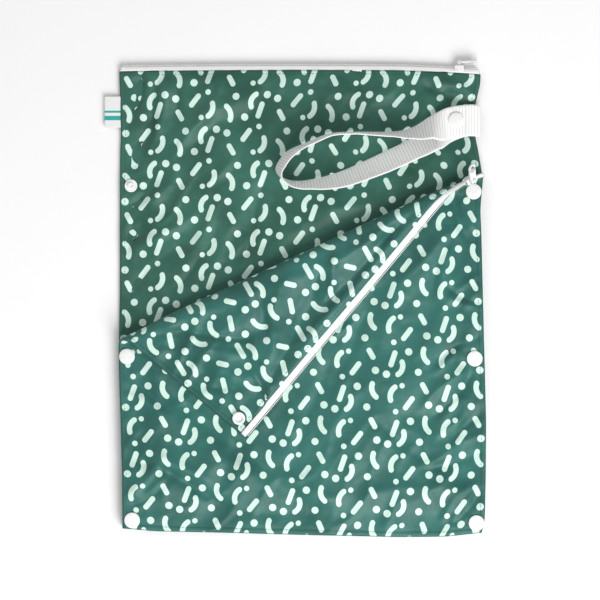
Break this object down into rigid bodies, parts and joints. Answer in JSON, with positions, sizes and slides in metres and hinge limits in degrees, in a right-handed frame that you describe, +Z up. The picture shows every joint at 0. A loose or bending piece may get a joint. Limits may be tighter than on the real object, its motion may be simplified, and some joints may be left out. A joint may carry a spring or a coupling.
{
  "type": "cloth diaper wet bag",
  "caption": "Flat cloth wet bag of two zipped pouches snapped together, the front one folded down at a corner, with a webbing wrist loop.",
  "frame": {"origin": "middle of the main pouch's underside, on the surface it lies on", "axes": "+X to the right seam, +Y from the bottom seam to the main zip, +Z up from the surface"},
  "size_m": [0.3012, 0.3762, 0.0331],
  "materials": {
    "main_cloth": "soft satin coated print cloth",
    "front_cloth": "soft satin coated print cloth",
    "zip_tape": "white woven tape",
    "zip_coil": "white nylon coil",
    "zip_plastic": "white enamel",
    "snap_plastic": "white moulded resin",
    "webbing": "white ribbed webbing",
    "tag_cloth": "white satin ribbon"
  },
  "bodies": {
    "root": {"main_bag": "main_cloth", "front_bag": "front_cloth", "strap": "webbing", "side_tag": "tag_cloth", "strap_stud": "snap_plastic", "strap_snap": "snap_plastic", "main_stud_1": "snap_plastic", "front_snap_1": "snap_plastic", "main_stud_2": "snap_plastic", "front_snap_2": "snap_plastic", "main_stud_3": "snap_plastic", "front_snap_3": "snap_plastic", "main_stud_4": "snap_plastic", "front_snap_4": "snap_plastic", "main_stud_5": "snap_plastic", "front_snap_5": "snap_plastic", "main_stud_6": "snap_plastic", "front_snap_6": "snap_plastic", "main_zip_tape": "zip_tape", "main_zip_coil": "zip_coil", "main_zip_slider": "zip_plastic", "front_zip_tape": "zip_tape", "front_zip_coil": "zip_coil", "front_zip_slider": "zip_plastic"},
    "main_pull": {"main_zip_pull": "zip_plastic"},
    "front_pull": {"front_zip_pull": "zip_plastic"}
  },
  "joints": [
    {"name": "main_pull_swing", "type": "hinge", "parent": "root", "child": "main_pull", "pos_m": [0.12458, 0.18935, 0.0036], "axis": [0, 0, 1], "range_deg": [0, 176]},
    {"name": "front_pull_swing", "type": "hinge", "parent": "root", "child": "front_pull", "pos_m": [0.1346, 0.09511, 0.02046], "axis": [0.6564, 0.5133, -0.5529], "range_deg": [-25, 110]}
  ]
}
